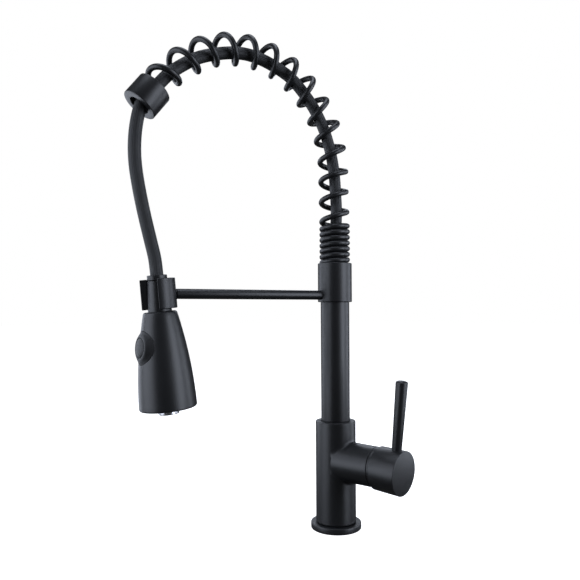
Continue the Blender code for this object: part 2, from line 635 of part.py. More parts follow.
def main():
    handle_axis = frame_at("handle_axis", (0.0, 0.0, HANDLE_Z), (0.0, 90.0, HANDLE_TURN))
    pivot_level = frame_at("pivot_level", (0.0, 0.0, PIVOT_OUT), (0.0, 0.0, 0.0), handle_axis)
    pivot = frame_at("handle_pivot", (0.0, 0.0, PIVOT_OUT), (0.0, REST_TILT, 0.0), handle_axis)
    arm_axis = frame_at("arm_axis", (0.0, 0.0, ARM_Z), (90.0, 0.0, 0.0))
    head_axis = frame_at("head_axis", (0.0, -HEAD_REACH, HEAD_TOP), (HEAD_LEAN, 0.0, 0.0))

    build_base()
    build_body(handle_axis)
    build_cartridge(handle_axis)
    build_carrier(handle_axis)
    build_dome(pivot_level)
    build_handle(pivot)
    build_column()
    build_collar(arm_axis)
    build_arm(arm_axis, head_axis)
    build_holder(arm_axis, head_axis)
    build_hose_end(head_axis)
    build_head(head_axis)
    frames = arch_frames()
    build_spring(frames)
    build_hoses(frames)
    build_cap()
    settle_parts()


main()
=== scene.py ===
"""Looks for the spring-necked kitchen faucet: fine meshes, procedural finishes, studio and camera.

Lengths in the tables are millimetres and degrees, as in the CAD; MM turns them into metres.
+Z is up, the spout reaches along -Y, and the origin is the centre of the base's underside.
"""
import json
import math

import bmesh
import bpy
import numpy as np
from mathutils import Matrix, Vector


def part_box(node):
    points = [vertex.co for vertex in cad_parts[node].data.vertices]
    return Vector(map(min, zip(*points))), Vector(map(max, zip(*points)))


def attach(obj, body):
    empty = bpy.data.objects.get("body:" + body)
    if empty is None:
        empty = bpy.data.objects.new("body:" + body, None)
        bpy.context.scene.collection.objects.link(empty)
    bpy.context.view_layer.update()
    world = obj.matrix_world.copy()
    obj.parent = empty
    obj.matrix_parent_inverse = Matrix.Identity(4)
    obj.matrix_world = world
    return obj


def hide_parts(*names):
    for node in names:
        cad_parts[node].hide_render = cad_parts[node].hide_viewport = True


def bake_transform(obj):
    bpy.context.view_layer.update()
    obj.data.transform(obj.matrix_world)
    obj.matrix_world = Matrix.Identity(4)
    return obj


MM = 0.001

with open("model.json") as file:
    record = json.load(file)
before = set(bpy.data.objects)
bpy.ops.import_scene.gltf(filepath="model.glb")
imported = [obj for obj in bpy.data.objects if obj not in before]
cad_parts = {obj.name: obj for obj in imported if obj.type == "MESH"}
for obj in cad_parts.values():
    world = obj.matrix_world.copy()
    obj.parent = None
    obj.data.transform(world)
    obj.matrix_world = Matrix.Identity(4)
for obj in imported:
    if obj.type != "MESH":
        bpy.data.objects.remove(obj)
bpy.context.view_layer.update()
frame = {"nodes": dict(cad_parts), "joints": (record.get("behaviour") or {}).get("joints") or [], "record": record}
joints = {joint["name"]: joint for joint in frame["joints"]}

ROUND = 128                    # steps round a large turned piece
SLIM = 64                      # steps round a small one
SHARP = math.radians(32.0)     # edges that turn more than this stay crisp
WRAPS = 30.0                   # pattern repeats in a metre of swept piece

# ---------------------------------------------------------------- driving dimensions

FLANGE_R = 25.0
FLANGE_H = 6.0
FOOT_R = 16.0
BODY_R = 19.94
BODY_TOP = 105.7
BOSS_R_IN = 19.6
BOSS_R_OUT = 19.1
BOSS_START = 8.0
BOSS_END = 47.8
PIVOT_OUT = 46.0
REST_TILT = 2.9
DOME_R = 19.0
HUB_OUT = 31.6
LEVER_OUT = 23.1
LEVER_LEAN = 2.6
LEVER_LENGTH = 65.2
LEVER_R_FOOT = 4.7
LEVER_R_TOP = 5.8
COLUMN_R = 14.38
COLLAR_R = 17.09
COLLAR_FOOT = 224.4
COLLAR_TOP = 263.5
ARM_Z = 231.25
ARM_R = 4.65
HOLDER_R = 15.5
HOLDER_LOW = 2.2
HOLDER_HIGH = 28.9
SLOT_FROM = -19.0
SLOT_TO = 75.0
HEAD_LENGTH = 85.3
NECK_FOOT = 0.5
NECK_TOP = 27.2
NECK_R_FOOT = 10.5
NECK_R_TOP = 8.75
FERRULE_TOP = 32.2
WALL = 2.2
BUTTON_R = 8.5
BEZEL_R = 14.7
PAD_RISE = 1.4
BUTTON_DROP = 29.8
BUTTON_COIL_R = 4.5
BUTTON_WIRE_R = 0.45
COIL_R = 12.7
WIRE_R = 2.75
COIL_SEAT_R = 15.5
HOSE_R = 5.8
CLOSED_PITCH = 5.69
CLOSED_END = 38.1
OPEN_PITCHES = ((0.0, CLOSED_PITCH), (0.7, 20.8), (2.8, 20.3), (3.6, 23.4), (7.0, 22.2), (11.0, 22.2),
                (13.0, 24.7))
FIRST_TURN = -7.45
LAST_TURN = 14.45
CAP_REACH = 197.9
CAP_FOOT = 396.3
CAP_LEAN = -37.7
CAP_R = 16.2
CAP_LENGTH = 22.5
JOIN_DEPTH = 6.0
FILLET = 2.0                   # width of the blend between body and boss
SCREW_Z = 98.65
SCREW_TURN = 150.0

# Spring's centre line, as (reach, height), and how far the hose lies off it, as (distance along, offset)
ARCH = ((0.0, 240.0), (0.0, 263.5), (0.0, 300.0), (0.8, 330.0), (3.1, 375.3), (15.7, 412.0),
        (46.2, 446.6), (86.4, 462.7), (129.7, 457.9), (169.0, 432.8), (184.2, 414.1), (197.9, 396.3))
ARCH_START = 23.5
HOSE_DRIFT = ((20.0, 0.2), (50.0, 2.5), (70.0, 2.4), (95.0, 0.7), (120.0, -1.4), (145.0, -2.8),
              (172.0, -3.1), (205.0, -3.1), (250.0, -3.1), (295.0, -2.9), (330.0, -1.3))
DROP = ((184.0, 414.2), (191.5, 405.0), (196.5, 396.0), (199.6, 383.2), (201.3, 369.0), (201.6, 355.0),
        (200.5, 341.0), (198.1, 326.0), (194.8, 309.5), (191.0, 293.0), (187.0, 277.0), (183.5, 262.5))


# ---------------------------------------------------------------- places, from the frame's joints

def place_at(position, up, side):
    """A local frame: Z along up, X as near to side as it can be. Its translation is in metres."""
    z = Vector(up).normalized()
    x = (Vector(side) - z * z.dot(Vector(side))).normalized()
    y = z.cross(x)
    made = Matrix((x, y, z)).transposed().to_4x4()
    made.translation = Vector(position)
    return made


def shift(distance):
    return Matrix.Translation((0.0, 0.0, distance * MM))


HEAD_AT = place_at(joints["head_swivel"]["pos_m"], joints["head_swivel"]["axis"], (1.0, 0.0, 0.0))
BUTTON_OUT = -Vector(joints["button_press"]["axis"])
HANDLE_AT = place_at(joints["handle_temperature"]["pos_m"], joints["handle_temperature"]["axis"],
                     (0.0, 0.0, -1.0))
DOME_AT = HANDLE_AT @ shift(PIVOT_OUT)
PIVOT_AT = DOME_AT @ Matrix.Rotation(math.radians(REST_TILT), 4, "Y")
ARM_AT = place_at((0.0, 0.0, ARM_Z * MM), (0.0, -1.0, 0.0), (1.0, 0.0, 0.0))
CAP_AT = place_at((0.0, -CAP_REACH * MM, CAP_FOOT * MM),
                  Matrix.Rotation(math.radians(CAP_LEAN), 3, "X") @ Vector((0.0, 0.0, 1.0)), (1.0, 0.0, 0.0))
UPRIGHT = Matrix.Identity(4)


# ---------------------------------------------------------------- materials

def new_material(name, metallic=0.0):
    """A Principled material and the pieces that its finish builds on."""
    made = bpy.data.materials.new(name)
    made.use_nodes = True
    nodes, links = made.node_tree.nodes, made.node_tree.links
    shader = nodes["Principled BSDF"]
    shader.inputs["Metallic"].default_value = metallic
    coords = nodes.new("ShaderNodeTexCoord").outputs["Object"]
    return made, nodes, links, shader, coords


def noise(nodes, links, vector, scale, detail=3.0, roughness=0.55):
    texture = nodes.new("ShaderNodeTexNoise")
    texture.inputs["Scale"].default_value = scale
    texture.inputs["Detail"].default_value = detail
    texture.inputs["Roughness"].default_value = roughness
    links.new(vector, texture.inputs["Vector"])
    return texture.outputs["Fac"]


def spread(nodes, links, factor, low, high):
    """Maps a 0..1 pattern to low..high, keeping its middle part."""
    ranged = nodes.new("ShaderNodeMapRange")
    ranged.inputs["From Min"].default_value = 0.3
    ranged.inputs["From Max"].default_value = 0.7
    ranged.inputs["To Min"].default_value = low
    ranged.inputs["To Max"].default_value = high
    links.new(factor, ranged.inputs["Value"])
    return ranged.outputs["Result"]


def tint(nodes, links, factor, dark, light):
    ramp = nodes.new("ShaderNodeValToRGB")
    ramp.color_ramp.elements[0].position = 0.3
    ramp.color_ramp.elements[0].color = (*dark, 1.0)
    ramp.color_ramp.elements[1].position = 0.7
    ramp.color_ramp.elements[1].color = (*light, 1.0)
    links.new(factor, ramp.inputs["Fac"])
    return ramp.outputs["Color"]


def add_bump(nodes, links, shader, height, distance):
    bump = nodes.new("ShaderNodeBump")
    bump.inputs["Strength"].default_value = 1.0
    bump.inputs["Distance"].default_value = distance
    links.new(height, bump.inputs["Height"])
    links.new(bump.outputs["Normal"], shader.inputs["Normal"])


def grained(name, dark, light, rough, grain_scale, grain_height, metallic=0.0):
    """A finish with a fine grain, and broad faint changes of shade and gloss."""
    made, nodes, links, shader, coords = new_material(name, metallic)
    broad = noise(nodes, links, coords, 38.0, 4.0)
    fine = noise(nodes, links, coords, grain_scale, 2.0)
    links.new(tint(nodes, links, broad, dark, light), shader.inputs["Base Color"])
    links.new(spread(nodes, links, fine, *rough), shader.inputs["Roughness"])
    add_bump(nodes, links, shader, fine, grain_height)
    return made


def hose_finish():
    """A rubber sleeve with fine ribs along it."""
    made, nodes, links, shader, coords = new_material("hose_sleeve")
    wrap = nodes.new("ShaderNodeUVMap")
    wrap.uv_map = "wrap"
    ribs = nodes.new("ShaderNodeTexWave")
    ribs.wave_type = "BANDS"
    ribs.bands_direction = "X"
    ribs.inputs["Scale"].default_value = 9.0
    ribs.inputs["Distortion"].default_value = 0.6
    ribs.inputs["Detail"].default_value = 1.0
    links.new(wrap.outputs["UV"], ribs.inputs["Vector"])
    broad = noise(nodes, links, coords, 90.0, 5.0)
    links.new(tint(nodes, links, broad, (0.010, 0.0105, 0.0115), (0.018, 0.0187, 0.0205)),
              shader.inputs["Base Color"])
    links.new(spread(nodes, links, broad, 0.52, 0.66), shader.inputs["Roughness"])
    add_bump(nodes, links, shader, ribs.outputs["Fac"], 0.00012)
    return made


def turned_metal(name, dark, light, rough):
    """Bare metal with the fine rings that a lathe leaves."""
    made, nodes, links, shader, coords = new_material(name, 1.0)
    stretch = nodes.new("ShaderNodeMapping")
    stretch.inputs["Scale"].default_value = (60.0, 60.0, 2600.0)
    links.new(coords, stretch.inputs["Vector"])
    rings = noise(nodes, links, stretch.outputs["Vector"], 1.0, 3.0)
    broad = noise(nodes, links, coords, 45.0, 3.0)
    links.new(tint(nodes, links, broad, dark, light), shader.inputs["Base Color"])
    links.new(spread(nodes, links, rings, *rough), shader.inputs["Roughness"])
    add_bump(nodes, links, shader, rings, 0.00002)
    return made


FINISHES = {
    "matte_black": grained("matte_black", (0.0070, 0.0074, 0.0084), (0.0100, 0.0106, 0.0120), (0.36, 0.44),
                           2600.0, 0.00003),
    "black_plastic": grained("black_plastic", (0.0080, 0.0084, 0.0096), (0.0110, 0.0116, 0.0132),
                             (0.37, 0.44), 3800.0, 0.000015),
    "black_rubber": grained("black_rubber", (0.0080, 0.0083, 0.0090), (0.0120, 0.0124, 0.0134), (0.50, 0.60),
                            3000.0, 0.00002),
    "hose_sleeve": hose_finish(),
    "brass": turned_metal("brass", (0.60, 0.41, 0.16), (0.76, 0.56, 0.25), (0.24, 0.38)),
    "steel": turned_metal("steel", (0.50, 0.50, 0.52), (0.66, 0.66, 0.68), (0.20, 0.34)),
    "nylon": grained("nylon", (0.74, 0.74, 0.69), (0.84, 0.84, 0.80), (0.38, 0.50), 1500.0, 0.00002),
    "ceramic": grained("ceramic", (0.85, 0.83, 0.78), (0.92, 0.90, 0.86), (0.12, 0.22), 2200.0, 0.000004),
}


def finish_cad_nodes():
    """The CAD nodes that stay in view, or stay inside, take their slot's finish."""
    slots = {part["node"]: part["material_slot"] for part in frame["record"]["subparts"]}
    for name, node in frame["nodes"].items():
        node.data.materials.clear()
        node.data.materials.append(FINISHES[slots[name]])


# ---------------------------------------------------------------- mesh helpers

def placed(name, verts, faces, place, uv=None):
    """An object from millimetre points in a local frame, smooth and facing out."""
    mesh = bpy.data.meshes.new(name)
    matrix = np.array(place, dtype=float)
    points = np.array(verts, dtype=float) * MM @ matrix[:3, :3].T + matrix[:3, 3]
    mesh.from_pydata(points.tolist(), [], faces)
    if uv is not None:
        layer = mesh.uv_layers.new(name="wrap")
        loops = [uv[loop.vertex_index] for loop in mesh.loops]
        layer.data.foreach_set("uv", np.array(loops, dtype=np.float32).ravel())
    tidy(mesh)
    made = bpy.data.objects.new(name, mesh)
    bpy.context.scene.collection.objects.link(made)
    return made


def make_piece(name, verts, faces, place, finish, body, nodes, uv=None):
    """A placed object that rides on its body and stands in for its CAD nodes."""
    return dress(placed(name, verts, faces, place, uv), finish, body, nodes)


def tidy(mesh):
    shape = bmesh.new()
    shape.from_mesh(mesh)
    bmesh.ops.recalc_face_normals(shape, faces=shape.faces)
    shape.to_mesh(mesh)
    shape.free()
    mesh.shade_smooth()
    mesh.set_sharp_from_angle(angle=SHARP)


def dress(made, finish, body, nodes):
    made.data.materials.clear()
    made.data.materials.append(FINISHES[finish])
    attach(made, body)
    if nodes:
        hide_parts(*nodes)
    return made


def soften(outline, radius, ring=False, steps=4):
    """The outline with each sharp corner rounded to an arc, no larger than its sides allow."""
    points = [Vector(point) for point in outline]
    made = []
    for i, corner in enumerate(points):
        if not ring and i in (0, len(points) - 1):
            made.append(tuple(corner))
            continue
        back = points[i - 1] - corner
        ahead = points[(i + 1) % len(points)] - corner
        turn = math.pi - back.angle(ahead)
        if turn < math.radians(14.0):
            made.append(tuple(corner))
            continue
        reach = min(radius * math.tan(turn / 2), 0.45 * back.length, 0.45 * ahead.length)
        start = corner + back.normalized() * reach
        end = corner + ahead.normalized() * reach
        weight = math.cos(turn / 2)
        for k in range(steps + 1):
            t = k / steps
            a, b, c = (1 - t) ** 2, 2 * weight * t * (1 - t), t ** 2
            made.append(tuple((a * start + b * corner + c * end) / (a + b + c)))
    return made


def lathe_mesh(outline, ring, steps, sweep=math.tau, start=0.0):
    """Points and faces of an outline turned about Z, all the way round or through part of a turn."""
    whole = sweep > math.tau - 1e-6
    stops = steps if whole else steps + 1
    angles = start + np.arange(stops) * sweep / steps
    verts, rows = [], []
    for radius, height in outline:
        if radius < 1e-6:
            rows.append([len(verts)] * stops)
            verts.append((0.0, 0.0, height))
            continue
        rows.append(list(range(len(verts), len(verts) + stops)))
        verts.extend((radius * math.cos(a), radius * math.sin(a), height) for a in angles)
    pairs = list(zip(rows, rows[1:]))
    if ring:
        pairs.append((rows[-1], rows[0]))
    faces = []
    for upper, lower in pairs:
        for i in range(steps):
            j = (i + 1) % stops
            corners = dict.fromkeys((upper[i], upper[j], lower[j], lower[i]))
            if len(corners) > 2:
                faces.append(tuple(corners))
    if not whole:
        faces.append(tuple(row[0] for row in rows))
        faces.append(tuple(row[-1] for row in reversed(rows)))
    return verts, faces


def lathe(name, outline, place, finish, body, nodes=(), ring=False, steps=ROUND, soft=0.4):
    verts, faces = lathe_mesh(soften(outline, soft, ring), ring, steps)
    return make_piece(name, verts, faces, place, finish, body, nodes)


def form(name, outline, place, steps=ROUND, ring=False, soft=0.0):
    """A turned shape that only cuts or joins another one."""
    if soft:
        outline = soften(outline, soft, ring)
    verts, faces = lathe_mesh(outline, ring, steps)
    return placed(name, verts, faces, place)


def cylinder(radius, low, high):
    return [(0.0, high), (radius, high), (radius, low), (0.0, low)]


def shape_with(piece, steps):
    """Cuts or joins forms to a piece, then removes them."""
    for operation, tool in steps:
        boolean = piece.modifiers.new("shape", "BOOLEAN")
        boolean.operation = operation
        boolean.solver = "EXACT"
        boolean.object = tool
    bpy.context.view_layer.update()
    graph = bpy.context.evaluated_depsgraph_get()
    made = bpy.data.meshes.new_from_object(piece.evaluated_get(graph))
    piece.modifiers.clear()
    piece.data = made
    for _, tool in steps:
        bpy.data.objects.remove(tool, do_unlink=True)
    made.shade_smooth()
    made.set_sharp_from_angle(angle=SHARP)
    return piece


def smooth_line(points, spacing):
    """Points a fixed distance apart along a smooth curve through the given ones."""
    given = np.array(points, dtype=float)
    ends = np.vstack((2 * given[0] - given[1], given, 2 * given[-1] - given[-2]))
    dense = []
    for before, start, end, after in zip(ends, ends[1:], ends[2:], ends[3:]):
        span = np.linalg.norm(end - start)
        into = (end - before) / (np.linalg.norm(start - before) + span) * span
        out = (after - start) / (span + np.linalg.norm(after - end)) * span
        for t in np.linspace(0.0, 1.0, 40, endpoint=False):
            dense.append((2 * t**3 - 3 * t**2 + 1) * start + (t**3 - 2 * t**2 + t) * into
                         + (3 * t**2 - 2 * t**3) * end + (t**3 - t**2) * out)
    dense = np.array(dense + [given[-1]])
    along = np.concatenate(([0.0], np.cumsum(np.linalg.norm(np.diff(dense, axis=0), axis=1))))
    count = max(2, int(round(along[-1] / spacing)) + 1)
    wanted = np.linspace(0.0, along[-1], count)
    return np.column_stack([np.interp(wanted, along, dense[:, k]) for k in range(given.shape[1])])


def sweep(name, line, radii, finish, body, nodes=()):
    """A tube whose section, a closed list of radii, is carried along the line without twisting."""
    line = np.array(line, dtype=float)
    ahead = np.gradient(line, axis=0)
    ahead /= np.linalg.norm(ahead, axis=1)[:, None]
    side = np.array((1.0, 0.0, 0.0))
    sides = len(radii)
    angles = np.arange(sides) * math.tau / sides
    along = np.concatenate(([0.0], np.cumsum(np.linalg.norm(np.diff(line, axis=0), axis=1))))
    verts, uv = [], []
    for place, direction, distance in zip(line, ahead, along):
        side = side - direction * side.dot(direction)
        side /= np.linalg.norm(side)
        across = np.cross(direction, side)
        for k in range(sides):
            verts.append(place + radii[k] * (math.cos(angles[k]) * side + math.sin(angles[k]) * across))
            uv.append((k / sides, distance * MM * WRAPS))
    faces = []
    for i in range(len(line) - 1):
        for k in range(sides):
            j = (k + 1) % sides
            faces.append((i * sides + k, i * sides + j, (i + 1) * sides + j, (i + 1) * sides + k))
    faces.append(tuple(range(sides)))
    faces.append(tuple(range((len(line) - 1) * sides, len(line) * sides)))
    return make_piece(name, verts, faces, UPRIGHT, finish, body, nodes, uv)


# ---------------------------------------------------------------- hose and spring

def arch_frames(spacing=1.0):
    line = smooth_line(ARCH, spacing)
    along = np.concatenate(([0.0], np.cumsum(np.linalg.norm(np.diff(line, axis=0), axis=1)))) - ARCH_START
    ahead = np.gradient(line, along, axis=0)
    ahead /= np.linalg.norm(ahead, axis=1)[:, None]
    return along, line, np.column_stack((-ahead[:, 1], ahead[:, 0]))


def on_arch(distance, arch):
    along, line, normal = arch
    place = np.array([np.interp(distance, along, line[:, k]) for k in range(2)])
    outward = np.array([np.interp(distance, along, normal[:, k]) for k in range(2)])
    return place, outward / np.linalg.norm(outward)


def coil_distance(turn, samples=60):
    """Distance along the arch after some turns, counted from the last closed coil."""
    if turn <= 0.0:
        return CLOSED_END + CLOSED_PITCH * turn
    turns, pitches = zip(*OPEN_PITCHES)
    middles = (np.arange(samples) + 0.5) * turn / samples
    return CLOSED_END + turn * float(np.interp(middles, turns, pitches).mean())


def hose_section(ribs=22, relief=0.07, per_rib=4):
    """The sleeve's section: fine ribs all round, within the hose's radius."""
    count = ribs * per_rib
    return [HOSE_R - relief * (1.0 - math.cos(math.tau * ribs * k / count)) for k in range(count)]


def build_hoses(arch):
    head_lean = Vector(joints["head_swivel"]["axis"])
    foot = Vector(joints["head_swivel"]["pos_m"]) / MM
    mouth = [foot + head_lean * t for t in (FERRULE_TOP + 2.0, NECK_TOP + 1.2)]
    route = [(0.0, 105.2), (0.0, 150.0), (0.0, 200.0), (0.0, 245.0), (0.0, 268.0)]
    for distance, drift in HOSE_DRIFT:
        place, outward = on_arch(distance, arch)
        route.append(tuple(place + drift * outward))
    line = smooth_line(route + list(DROP) + [(-point.y, point.z) for point in mouth], 0.25)
    lean = math.radians(CAP_LEAN)
    join_at = np.array((CAP_REACH + JOIN_DEPTH * math.sin(lean), CAP_FOOT + JOIN_DEPTH * math.cos(lean)))
    split = int(np.argmin(np.linalg.norm(line - join_at, axis=1)))
    upper = [(0.0, -reach, height) for reach, height in smooth_line(line[:split - 2], 2.0)]
    sweep("hose_upper_sleeve", upper, hose_section(), "hose_sleeve", "spout", ["hose_upper"])
    drop = [(0.0, -reach, height) for reach, height in smooth_line(line[split + 2:], 1.5)]
    lower = sweep("hose_drop_sleeve", drop, hose_section(), "hose_sleeve", "spout", ["hose_drop"])
    lower.parent = None
    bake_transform(lower)


def build_spring(arch, per_turn=40, sides=18):
    count = int((LAST_TURN - FIRST_TURN) * per_turn) + 1
    line = []
    for i in range(count):
        turn = FIRST_TURN + i / per_turn
        place, outward = on_arch(coil_distance(turn), arch)
        reach, height = place + COIL_R * math.cos(math.tau * turn) * outward
        line.append((-COIL_R * math.sin(math.tau * turn), -reach, height))
    sweep("spring_wire", line, [WIRE_R] * sides, "matte_black", "spout", ["spring"])


def build_cap():
    lathe("spring_cap_shell", [(COIL_SEAT_R, CAP_LENGTH), (CAP_R, CAP_LENGTH), (CAP_R, 0.0), (9.3, 0.0),
                               (9.3, 8.5), (COIL_SEAT_R, 8.5)],
          CAP_AT, "matte_black", "spout", ["spring_cap"], ring=True, soft=0.7)


# ---------------------------------------------------------------- base, body and column

def build_base():
    lathe("base_flange_ring", [(FOOT_R + 0.3, FLANGE_H), (FLANGE_R, FLANGE_H), (FLANGE_R, 0.0), (23.2, 0.0),
                               (23.2, 1.7), (19.8, 1.7), (19.8, 0.0), (FOOT_R + 0.3, 0.0)],
          UPRIGHT, "matte_black", "base", ["base_flange"], ring=True, soft=0.8)


def divided(start, end, step=1.2):
    """Points along a straight side, so that a fillet can bend it. The first point is left out."""
    start, end = np.array(start), np.array(end)
    count = int(np.linalg.norm(end - start) / step)
    return [tuple(start + (end - start) * k / count) for k in range(1, count + 1)]


def blended(points):
    """How far points lie off the body and boss joined by a fillet, and which of them it reaches."""
    centre = np.array(joints["handle_temperature"]["pos_m"]) / MM
    local = (points - centre) @ np.array(HANDLE_AT.to_3x3())
    off_body = np.hypot(points[:, 0], points[:, 1]) - BODY_R
    taper = (BOSS_R_IN - BOSS_R_OUT) / (BOSS_END - BOSS_START)
    off_boss = np.hypot(local[:, 0], local[:, 1]) - (BOSS_R_IN - taper * (local[:, 2] - BOSS_START))
    near = np.maximum(FILLET - np.abs(off_body - off_boss), 0.0)
    return np.minimum(off_body, off_boss) - near**2 / (4 * FILLET), (near > 0.0) & (local[:, 2] > BOSS_START)


def fillet_boss(body):
    """Moves the points near the crease between body and boss onto a rounded blend of the two."""
    mesh = body.data
    points = np.empty(len(mesh.vertices) * 3)
    mesh.vertices.foreach_get("co", points)
    points = points.reshape(-1, 3) / MM
    off, reached = blended(points)
    outside = off > -FILLET / 4 - 0.05
    chosen = np.flatnonzero(reached & outside)
    moving = points[chosen]
    step = 0.01
    for _ in range(8):
        off, _ = blended(moving)
        slope = np.column_stack([(blended(moving + step * axis)[0] - off) / step for axis in np.eye(3)])
        moving -= slope * (off / np.maximum((slope**2).sum(axis=1), 0.05))[:, None]
    points[chosen] = moving
    mesh.vertices.foreach_set("co", (points * MM).ravel())
    mesh.shade_smooth()
    mesh.set_sharp_from_angle(angle=math.radians(40.0))
    mesh.update()


def build_body():
    side = divided((BODY_R, BODY_TOP - 1.5), (BODY_R, FLANGE_H + 2.5))
    body = form("mixer_body_casting",
                [(0.0, 87.5), (14.7, 87.5), (14.7, BODY_TOP), (BODY_R, BODY_TOP), (BODY_R, BODY_TOP - 1.5)]
                + side + [(BODY_R, FLANGE_H + 1.2), (BODY_R - 0.9, FLANGE_H + 0.3), (FOOT_R, FLANGE_H + 0.3),
                          (FOOT_R, 0.0), (0.0, 0.0)], UPRIGHT, soft=0.7)
    boss = form("boss", [(0.0, BOSS_END), (BOSS_R_OUT, BOSS_END), (BOSS_R_OUT, BOSS_END - 1.2)]
                + divided((BOSS_R_OUT, BOSS_END - 1.2), (BOSS_R_IN, BOSS_START)) + [(0.0, BOSS_START)],
                HANDLE_AT, soft=0.5)
    chamber = form("chamber", cylinder(17.2, 21.5, BOSS_END + 2.0), HANDLE_AT)
    inlets = []
    for side in (-1.0, 1.0):
        centre = Vector(joints["handle_flow"]["axis"]) * side * 7.0 * MM
        inlets.append(("DIFFERENCE", form("inlet", cylinder(4.4, -2.0, 60.0),
                                          Matrix.Translation(centre), SLIM)))
    shape_with(body, [("UNION", boss)])
    fillet_boss(body)
    screw_at = Matrix.Translation((0.0, 0.0, SCREW_Z * MM)) @ Matrix.Rotation(
        math.radians(SCREW_TURN), 4, "Z") @ Matrix.Rotation(math.radians(90.0), 4, "Y")
    screw_hole = form("hole", cylinder(1.8, 13.0, BODY_R + 1.0), screw_at, SLIM)
    shape_with(body, [("DIFFERENCE", chamber), ("DIFFERENCE", screw_hole), *inlets])
    dress(body, "matte_black", "base", ["mixer_body"])

    screw = form("retaining_screw_fine", [(0.0, 19.4), (1.5, 19.4), (1.5, 14.9), (1.2, 14.6), (1.2, 13.1),
                                          (0.0, 13.1)], screw_at, SLIM, soft=0.15)
    socket = form("socket", cylinder(0.85, 18.0, 20.0), screw_at, 6)
    shape_with(screw, [("DIFFERENCE", socket)])
    dress(screw, "steel", "base", ["retaining_screw"])


def build_column():
    lathe("column_tube_fine", [(10.5, 248.0), (COLUMN_R, 248.0), (COLUMN_R, 103.5), (12.2, 103.5),
                               (12.2, 88.4), (10.5, 88.4)],
          UPRIGHT, "matte_black", "spout", ["column_tube"], ring=True)
    lathe("column_collar_fine", [(COIL_SEAT_R, COLLAR_TOP), (COLLAR_R, COLLAR_TOP), (COLLAR_R, COLLAR_FOOT),
                                 (14.7, COLLAR_FOOT), (14.7, 248.4), (10.6, 248.4), (10.6, 256.6),
                                 (COIL_SEAT_R, 256.6)],
          UPRIGHT, "matte_black", "spout", ["column_collar"], ring=True, soft=0.7)


# ---------------------------------------------------------------- handle

def build_dome():
    ball = [(DOME_R * math.sin(a), DOME_R * math.cos(a)) for a in np.radians(np.linspace(40.4, 83.7, 14))]
    lathe("cartridge_dome_fine", ball + [(16.9, 2.1), (16.9, -3.5), (15.4, -3.5), (15.4, 5.5), (12.3, 11.8)],
          DOME_AT, "matte_black", "base", ["cartridge_dome"], ring=True, soft=0.3)


def build_hub():
    hub = lathe("handle_hub_fine",
                [(0.0, HUB_OUT), (20.8, HUB_OUT), (20.5, 5.0), (19.35, 5.0), (17.9, 8.2), (14.6, 13.3),
                 (10.0, 17.2), (4.9, 19.6), (4.9, 27.2), (0.0, 27.2)],
                PIVOT_AT, "matte_black", "handle", ["handle_hub"], steps=160, soft=0.45)
    screw_at = PIVOT_AT @ shift(23.6) @ Matrix.Rotation(math.radians(90.0), 4, "Y")
    shape_with(hub, [("DIFFERENCE", form("hole", cylinder(2.4, 3.0, 23.0), screw_at, SLIM))])
    lathe("hub_plug_fine", cylinder(2.15, 17.6, 20.35), screw_at, "black_plastic", "handle", ["hub_plug"],
          steps=SLIM, soft=0.5)


def build_lever():
    lever_at = (PIVOT_AT @ Matrix.Translation(Vector((-20.3, 0.0, LEVER_OUT)) * MM)
                @ Matrix.Rotation(math.radians(LEVER_LEAN - 90.0), 4, "Y"))
    top = LEVER_LENGTH
    crown = [(LEVER_R_TOP * math.sin(a), top - 2.0 + 2.0 * math.cos(a))
             for a in np.radians(np.linspace(0, 80, 9))]
    lathe("lever_fine", crown + [(LEVER_R_TOP - 0.02, top - 2.6), (LEVER_R_FOOT, -0.7), (0.0, -0.7)],
          lever_at, "matte_black", "handle", ["lever"], steps=96, soft=0.5)


# ---------------------------------------------------------------- docking arm and ring

def build_arm():
    _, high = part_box("docking_ring")
    reach = -high.y / MM
    lathe("docking_arm_fine", cylinder(ARM_R, COLLAR_R - 0.9, reach + 0.7), ARM_AT, "matte_black", "spout",
          ["docking_arm"], steps=SLIM)


def neck_radius(height):
    share = (height - NECK_FOOT) / (NECK_TOP - NECK_FOOT)
    return NECK_R_FOOT + (NECK_R_TOP - NECK_R_FOOT) * share


def build_holder():
    outline = soften([(neck_radius(HOLDER_HIGH) + 0.4, HOLDER_HIGH), (HOLDER_R, HOLDER_HIGH),
                      (HOLDER_R, HOLDER_LOW), (neck_radius(HOLDER_LOW) + 0.4, HOLDER_LOW)], 0.6, ring=True)
    start = math.radians(SLOT_TO - 90.0)
    turn = math.radians(360.0 - (SLOT_TO - SLOT_FROM))
    verts, faces = lathe_mesh(outline, True, 120, turn, start)
    ring = make_piece("docking_ring_fine", verts, faces, HEAD_AT, "matte_black", "spout", ["docking_ring"])
    bevel = ring.modifiers.new("jaw_edges", "BEVEL")
    bevel.width = 0.35 * MM
    bevel.segments = 3
    bevel.limit_method = "ANGLE"
    bevel.angle_limit = math.radians(60.0)


# ---------------------------------------------------------------- spray head

def shell_radius(drop):
    return 14.6 + 0.235 * drop - 0.00127 * drop**2


def flare(drops, inset=0.0):
    return [(shell_radius(drop) - inset, -drop) for drop in drops]


def button_frame():
    """The button's own frame: its origin on the shell's surface, Z outward."""
    inverse = HEAD_AT.inverted()
    out = inverse.to_3x3() @ BUTTON_OUT
    radius = shell_radius(BUTTON_DROP)
    level = math.hypot(out.x, out.y)
    centre = Vector((out.x / level * radius, out.y / level * radius, -BUTTON_DROP)) * MM
    return place_at(HEAD_AT @ centre, BUTTON_OUT, (0.0, 0.0, -1.0))


